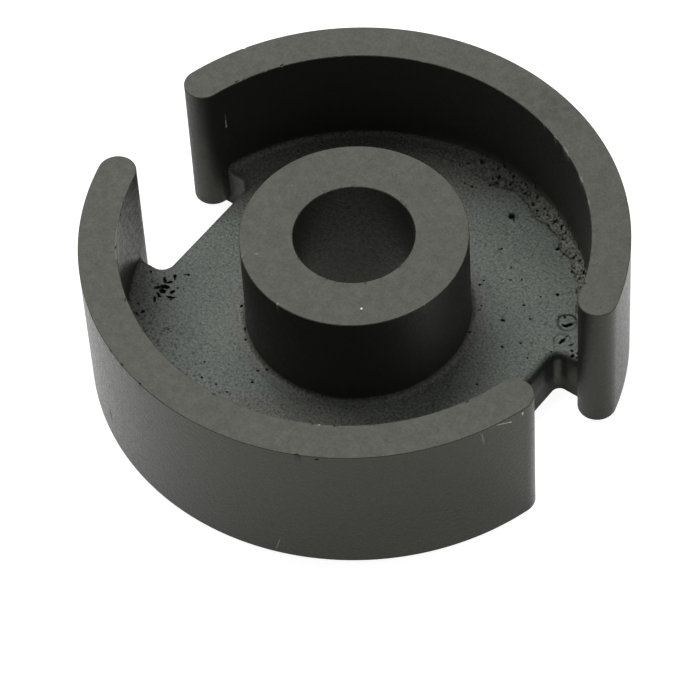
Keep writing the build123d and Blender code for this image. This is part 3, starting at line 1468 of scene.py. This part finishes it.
def cup_floor_ferrite(finish):
    """Rough and speckled, and more crumbly at the feet of the post and the walls, whose colour also
    paints shade behind and in front of the post. Sizes in mm.
    """
    material, nodes, shader = new_material("cup_floor_ferrite")
    flat = nodes.add("ShaderNodeVectorMath", operation="MULTIPLY")
    nodes.link(nodes.place(1.0), flat, 0)
    flat.inputs[1].default_value = (1, 1, 0)
    length = nodes.add("ShaderNodeVectorMath", operation="LENGTH")
    nodes.link(flat.outputs[0], length, 0)
    wander = nodes.remap(nodes.noise(1.7, 3.0), 0.3, 0.7, -0.14, 0.14)
    radius = nodes.math("ADD", length.outputs["Value"], wander)
    by_wall = nodes.remap(radius, 8.62, 8.92)
    by_post = nodes.remap(radius, 5.15, 4.9)
    feet = nodes.math("MAXIMUM", by_wall, by_post)
    # Painted shade: the feet colour also covers the floor behind the post and in front of it, where
    # the back wall and the post shade it.
    for direction, start, end in (((-0.6, 0.8, 0), 4.9, 6.0), ((0.4, -0.917, 0), 4.75, 5.4)):
        far = nodes.math("ADD", nodes.along(direction), wander)
        feet = nodes.math("MAXIMUM", feet, nodes.remap(far, start, end))
    colour = nodes.mix(feet, finish.cup_floor, finish.foot)
    colour = nodes.mix(nodes.attribute("crust"), colour, finish.crust)
    grain = nodes.remap(nodes.noise(9.5, 3.0, 0.65), 0.36, 0.64, 0.44, 1.6)
    clouds = nodes.remap(nodes.noise(0.8, 3.0), 0.3, 0.7, 0.92, 1.08)
    colour = nodes.brighten(colour, nodes.math("MULTIPLY", grain, clouds))
    freckles = nodes.math("MULTIPLY", nodes.dots(4.2, 0.2), 0.8)
    colour = nodes.mix(freckles, colour, finish.pit)
    front = nodes.math("ADD", nodes.along((-0.3, -0.95, 0)), wander)
    zone = nodes.remap(front, 4.8, 7.0)
    dense = nodes.math("MULTIPLY", nodes.dots(5.0, 0.36), nodes.math("MULTIPLY", zone, 0.9))
    colour = nodes.mix(dense, colour, finish.pit)
    height = nodes.math("ADD", nodes.along((0, 0, 1)), nodes.math("MULTIPLY", wander, 0.2))
    fillet = nodes.math("MAXIMUM", nodes.remap(height, 2.13, 2.19), nodes.remap(height, 1.96, 1.88))
    bare = nodes.math("SUBTRACT", fillet, nodes.attribute("crust"))
    colour = nodes.mix(bare, colour, finish.raw)
    nodes.link(with_marks_and_painted_light(nodes, colour, finish), shader, "Base Color")
    nodes.link(nodes.remap(nodes.attribute("pit"), 0.0, 1.0, 0.6, 1.0), shader, "Roughness")
    nodes.bump(nodes.noise(12.0, 3.0, 0.6), 0.012 * MM, shader)
    return material


# Operators


def scene_settings(context):
    scene = context.scene
    return scene.pot_core_sizes, scene.pot_core_pits, scene.pot_core_finish, scene.pot_core_stage


class POTCORE_OT_core_half(bpy.types.Operator):
    """Build the core half with its pits, crust, chips and finishes"""

    bl_idname = "potcore.core_half"
    bl_label = "Core half"

    def execute(self, context):
        sizes, pits, finish, _ = scene_settings(context)
        shape = CoreShape(sizes)
        mesh = skin_to_mesh(build_skin(shape), "pot_core_skin")
        blemish(mesh, shape)
        floor_finish = cup_floor_ferrite(finish)
        for material in (ground_ferrite(finish), pressed_ferrite(finish), floor_finish):
            mesh.materials.append(material)
        core = bpy.data.objects.new("pot_core_half", mesh)
        context.scene.collection.objects.link(core)
        scatter_pits(core, pits, floor_finish)
        core.data.shade_smooth()
        core.data.set_sharp_from_angle(angle=math.radians(35))
        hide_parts("core_half")
        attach(core, "root")
        return {"FINISHED"}


class POTCORE_OT_stage(bpy.types.Operator):
    """Set the white table, the soft lamps and the camera"""

    bl_idname = "potcore.stage"
    bl_label = "Stage"

    def execute(self, context):
        stage = scene_settings(context)[-1]
        make_table(context.scene, stage)
        make_world(context.scene, stage)
        make_lamps(context.scene, stage)
        make_camera(context.scene, stage)
        return {"FINISHED"}


def make_table(scene, stage):
    """A wide light table: a white panel that glows a little and keeps the core's soft shadow."""
    reach = 6.0  # metres to each side, so that the table's edges are out of sight
    camera_glow = 0.92  # what the camera sees of the glow
    sheen_glow = 0.45  # what the core's sheen mirrors of it
    mesh = bpy.data.meshes.new("table")
    corners = [(-reach, -reach, 0), (reach, -reach, 0), (reach, reach, 0), (-reach, reach, 0)]
    mesh.from_pydata(corners, [], [(0, 1, 2, 3)])
    material, nodes, shader = new_material("light_table")
    shader.inputs["Base Color"].default_value = (*stage.table, 1)
    shader.inputs["Roughness"].default_value = 0.9
    shader.inputs["Specular IOR Level"].default_value = 0.0
    shader.inputs["Emission Color"].default_value = (1, 1, 1, 1)
    ray = nodes.add("ShaderNodeLightPath")
    seen = nodes.add("ShaderNodeMapRange")
    seen.inputs["To Min"].default_value = stage.table_glow
    seen.inputs["To Max"].default_value = camera_glow
    mirrored = nodes.add("ShaderNodeMath", operation="MULTIPLY_ADD")
    mirrored.inputs[1].default_value = sheen_glow - stage.table_glow
    nodes.link(ray.outputs["Is Camera Ray"], seen, "Value")
    nodes.link(ray.outputs["Is Glossy Ray"], mirrored, 0)
    nodes.link(seen.outputs[0], mirrored, 2)
    nodes.link(mirrored.outputs[0], shader, "Emission Strength")
    mesh.materials.append(material)
    table = bpy.data.objects.new("table", mesh)
    scene.collection.objects.link(table)
    table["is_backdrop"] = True


def make_world(scene, stage):
    """A dim room that the camera sees as white."""
    room_light = 0.10
    world = bpy.data.worlds.new("room")
    world.use_nodes = True
    nodes = Nodes(world.node_tree)
    background = world.node_tree.nodes["Background"]
    ray = nodes.add("ShaderNodeLightPath")
    strength = nodes.add("ShaderNodeMapRange")
    strength.inputs["To Min"].default_value = room_light
    strength.inputs["To Max"].default_value = 1.0
    nodes.link(ray.outputs["Is Camera Ray"], strength, "Value")
    nodes.link(strength.outputs[0], background, "Strength")
    background.inputs["Color"].default_value = (1, 1, 1, 1)
    scene.world = world


def towards(turn, height):
    """The direction from the core at a turn round it and a height above the table."""
    return Vector(
        (math.sin(turn) * math.cos(height), -math.cos(turn) * math.cos(height), math.sin(height))
    )


def make_lamp(scene, name, direction, distance, size, power):
    """A square soft lamp that faces the core."""
    data = bpy.data.lights.new(name, "AREA")
    data.shape = "SQUARE"
    data.size = size
    data.energy = power
    lamp = bpy.data.objects.new(name, data)
    lamp.location = direction * distance
    lamp.rotation_euler = direction.to_track_quat("Z", "Y").to_euler()
    scene.collection.objects.link(lamp)


def lamp_power(light, distance, height):
    """The power at which a lamp lights a level white surface to that share of white."""
    return light * (math.pi * distance) ** 2 / math.sin(height)


# The lamps: name, turn from the camera, height above the table, side in metres, and how
# brightly each lights a level white surface. Angles are in degrees.
LAMPS = (
    ("back_lamp", 180, 52, 0.3, 0.28),
    ("left_back_lamp", 215, 60, 0.3, 0.48),
    ("right_fill", 100, 52, 0.2, 0.11),
    ("left_fill", 260, 50, 0.2, 0.05),
    ("front_fill", 0, 58, 0.5, 0.04),
)


def make_lamps(scene, stage):
    """Two soft lamps behind the core light it. Weak ones fill the sides and the front."""
    for name, turn, height, size, light in LAMPS:
        turn, height = stage.camera_turn + math.radians(turn), math.radians(height)
        power = lamp_power(light, stage.lamp_distance, height)
        make_lamp(scene, name, towards(turn, height), stage.lamp_distance, size, power)


LENS = 224.07  # focal length in mm
AIM_HEIGHT = 3.35 * MM  # the point on the core's axis that the camera stands round
PAN, TILT, ROLL = (math.radians(angle) for angle in (0.1455, -0.7927, 3.558))


def make_camera(scene, stage):
    """A long lens that looks down into the cup."""
    data = bpy.data.cameras.new("camera")
    data.lens = LENS
    camera = bpy.data.objects.new("camera", data)
    aim = Vector((0, 0, AIM_HEIGHT))
    place = Matrix.Translation(
        aim + towards(stage.camera_turn, stage.camera_height) * stage.camera_distance
    )
    look = (
        Matrix.Rotation(stage.camera_turn, 4, "Z")
        @ Matrix.Rotation(math.pi / 2 - stage.camera_height, 4, "X")
        @ Matrix.Rotation(PAN, 4, "Y")
        @ Matrix.Rotation(TILT, 4, "X")
        @ Matrix.Rotation(-ROLL, 4, "Z")
    )
    camera.matrix_world = place @ look
    data.clip_start = 0.01
    data.clip_end = 20
    scene.collection.objects.link(camera)
    scene.camera = camera


class POTCORE_PT_panel(bpy.types.Panel):
    """Lists the settings and the buttons that build the core half and its stage"""

    bl_label = "Pot core"
    bl_idname = "POTCORE_PT_panel"
    bl_space_type = "VIEW_3D"
    bl_region_type = "UI"
    bl_category = "Pot core"

    def draw(self, context):
        for settings in scene_settings(context):
            box = self.layout.box()
            for name in settings.__annotations__:
                box.prop(settings, name)
        for operator in OPERATORS:
            self.layout.operator(operator.bl_idname)


OPERATORS = (POTCORE_OT_core_half, POTCORE_OT_stage)
CLASSES = (
    PotCoreSizes,
    PotCorePits,
    PotCoreFinish,
    PotCoreStage,
    *OPERATORS,
    POTCORE_PT_panel,
)


def register():
    for cls in CLASSES:
        bpy.utils.register_class(cls)
    bpy.types.Scene.pot_core_sizes = PointerProperty(type=PotCoreSizes)
    bpy.types.Scene.pot_core_pits = PointerProperty(type=PotCorePits)
    bpy.types.Scene.pot_core_finish = PointerProperty(type=PotCoreFinish)
    bpy.types.Scene.pot_core_stage = PointerProperty(type=PotCoreStage)


def unregister():
    for name in ("pot_core_stage", "pot_core_finish", "pot_core_pits", "pot_core_sizes"):
        delattr(bpy.types.Scene, name)
    for cls in reversed(CLASSES):
        bpy.utils.unregister_class(cls)


def write_sizes():
    boxes = {"cad": CAD_BOX, "visual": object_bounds()}
    plain = {name: [list(corner) for corner in box] for name, box in boxes.items()}


def main():
    register()
    bpy.ops.potcore.core_half()
    bpy.ops.potcore.stage()
    bpy.context.scene.view_settings.view_transform = "Standard"
    write_sizes()


if __name__ == "__main__":
    main()
